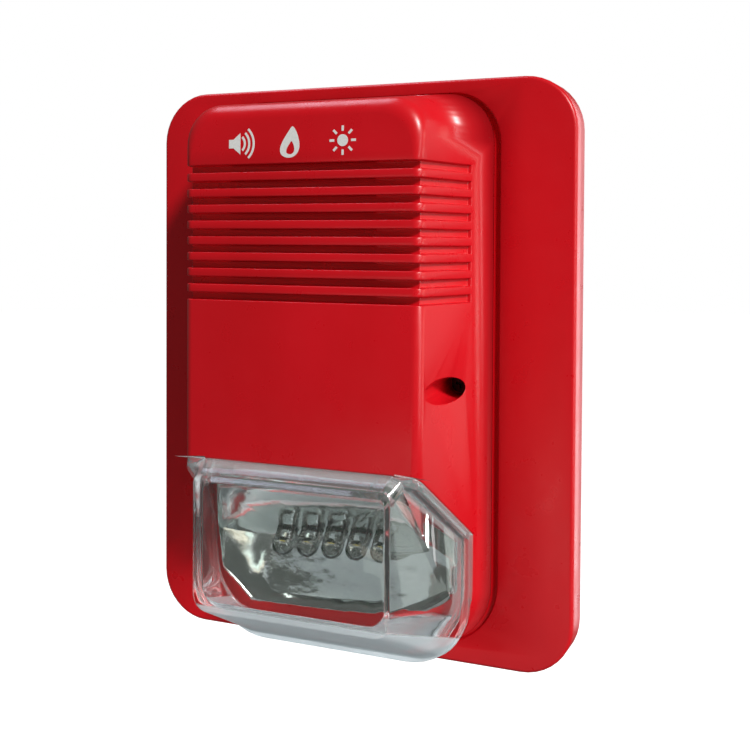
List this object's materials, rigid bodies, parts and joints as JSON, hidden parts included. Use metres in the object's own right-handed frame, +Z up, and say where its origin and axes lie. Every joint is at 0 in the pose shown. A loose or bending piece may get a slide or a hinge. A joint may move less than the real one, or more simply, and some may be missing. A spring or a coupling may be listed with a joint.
{
  "type": "horn strobe",
  "caption": "Wall-mounted red horn strobe: wide plate, tapered head with louvred sounder grille, clear strobe lens below, plug-on wiring and screw-fixed cover.",
  "frame": {"origin": "centre of the wall plate's rear face, in the plane of the wall", "axes": "+Z up, +X to the right of someone facing the device, +Y into the wall, so the front faces -Y"},
  "size_m": [0.116, 0.0415, 0.144],
  "materials": {
    "red_abs": "satin moulded plastic",
    "board_green": "solder mask over glass laminate",
    "screw_steel": "zinc plated",
    "black_steel": "black oxide",
    "terminal_green": "moulded",
    "brass": "bright",
    "black_plastic": "moulded",
    "clear_lens": "clear polycarbonate",
    "metallised": "vacuum metallised plastic",
    "clear_epoxy": "clear epoxy",
    "capacitor_sleeve": "shrink sleeve",
    "ferrite": "sintered ferrite",
    "copper": "enamelled wire",
    "resistor_body": "lacquer",
    "foam": "closed cell foam",
    "white_ceramic": "silvered ceramic",
    "red_lead": "insulation",
    "black_lead": "insulation"
  },
  "bodies": {
    "base": {"base_plate": "red_abs", "base_board": "board_green", "base_board_screws": "screw_steel", "terminal_body": "terminal_green", "terminal_contacts": "brass", "pin_header": "black_plastic", "plug_pins": "brass"},
    "head": {"front_housing": "red_abs", "led_board": "board_green", "main_board": "board_green", "board_screws": "screw_steel", "sounder_screws": "screw_steel", "led_leads": "screw_steel", "piezo_plate": "brass", "plug_socket": "black_plastic", "driver_chip": "black_plastic", "power_transistor": "black_plastic", "rectifier_diodes": "black_plastic", "sounder_cup": "black_plastic", "sounder_cap": "black_plastic", "strobe_lens": "clear_lens", "reflector": "metallised", "led_1": "clear_epoxy", "led_2": "clear_epoxy", "led_3": "clear_epoxy", "led_4": "clear_epoxy", "led_5": "clear_epoxy", "filter_capacitor": "capacitor_sleeve", "inductor_core": "ferrite", "inductor_winding": "copper", "resistors": "resistor_body", "sounder_gasket": "foam", "piezo_ceramic": "white_ceramic", "sounder_lead_red": "red_lead", "led_lead_red": "red_lead", "sounder_lead_black": "black_lead", "led_lead_black": "black_lead"},
    "terminal_screw_1": {"terminal_screw_1": "screw_steel"},
    "terminal_screw_2": {"terminal_screw_2": "screw_steel"},
    "terminal_screw_3": {"terminal_screw_3": "screw_steel"},
    "terminal_screw_4": {"terminal_screw_4": "screw_steel"},
    "wire_clamp_1": {"wire_clamp_1": "screw_steel"},
    "wire_clamp_2": {"wire_clamp_2": "screw_steel"},
    "wire_clamp_3": {"wire_clamp_3": "screw_steel"},
    "wire_clamp_4": {"wire_clamp_4": "screw_steel"},
    "cover_screw_left": {"cover_screw_left": "black_steel"},
    "cover_washer_left": {"cover_washer_left": "black_steel"},
    "cover_screw_right": {"cover_screw_right": "black_steel"},
    "cover_washer_right": {"cover_washer_right": "black_steel"}
  },
  "joints": [
    {"name": "head_lift_off", "type": "slide", "parent": "base", "child": "head", "axis": [0, -1, 0], "range_m": [0, 0.04]},
    {"name": "cover_washer_left_rise", "type": "slide", "parent": "head", "child": "cover_washer_left", "axis": [0, -1, 0], "range_m": [0, 0.006]},
    {"name": "cover_screw_left_turn", "type": "hinge", "parent": "cover_washer_left", "child": "cover_screw_left", "pos_m": [-0.03145, -0.0114, -0.0017], "axis": [0, -1, 0], "range_deg": [0, 2160]},
    {"name": "cover_washer_right_rise", "type": "slide", "parent": "head", "child": "cover_washer_right", "axis": [0, -1, 0], "range_m": [0, 0.006]},
    {"name": "cover_screw_right_turn", "type": "hinge", "parent": "cover_washer_right", "child": "cover_screw_right", "pos_m": [0.03145, -0.0114, -0.0017], "axis": [0, -1, 0], "range_deg": [0, 2160]},
    {"name": "terminal_screw_1_turn", "type": "hinge", "parent": "base", "child": "terminal_screw_1", "pos_m": [-0.0075, -0.0111, -0.023], "axis": [0, 1, 0], "range_deg": [0, 720]},
    {"name": "wire_clamp_1_rise", "type": "slide", "parent": "base", "child": "wire_clamp_1", "axis": [0, -1, 0], "range_m": [0, 0.001]},
    {"name": "terminal_screw_2_turn", "type": "hinge", "parent": "base", "child": "terminal_screw_2", "pos_m": [-0.0025, -0.0111, -0.023], "axis": [0, 1, 0], "range_deg": [0, 720]},
    {"name": "wire_clamp_2_rise", "type": "slide", "parent": "base", "child": "wire_clamp_2", "axis": [0, -1, 0], "range_m": [0, 0.001]},
    {"name": "terminal_screw_3_turn", "type": "hinge", "parent": "base", "child": "terminal_screw_3", "pos_m": [0.0025, -0.0111, -0.023], "axis": [0, 1, 0], "range_deg": [0, 720]},
    {"name": "wire_clamp_3_rise", "type": "slide", "parent": "base", "child": "wire_clamp_3", "axis": [0, -1, 0], "range_m": [0, 0.001]},
    {"name": "terminal_screw_4_turn", "type": "hinge", "parent": "base", "child": "terminal_screw_4", "pos_m": [0.0075, -0.0111, -0.023], "axis": [0, 1, 0], "range_deg": [0, 720]},
    {"name": "wire_clamp_4_rise", "type": "slide", "parent": "base", "child": "wire_clamp_4", "axis": [0, -1, 0], "range_m": [0, 0.001]}
  ],
  "couplings": [
    {"joint": "cover_screw_left_turn", "follows": "cover_washer_left_rise", "rad_per_m": 6283.2},
    {"joint": "cover_screw_right_turn", "follows": "cover_washer_right_rise", "rad_per_m": 6283.2},
    {"joint": "terminal_screw_1_turn", "follows": "wire_clamp_1_rise", "rad_per_m": 12566},
    {"joint": "terminal_screw_2_turn", "follows": "wire_clamp_2_rise", "rad_per_m": 12566},
    {"joint": "terminal_screw_3_turn", "follows": "wire_clamp_3_rise", "rad_per_m": 12566},
    {"joint": "terminal_screw_4_turn", "follows": "wire_clamp_4_rise", "rad_per_m": 12566}
  ]
}
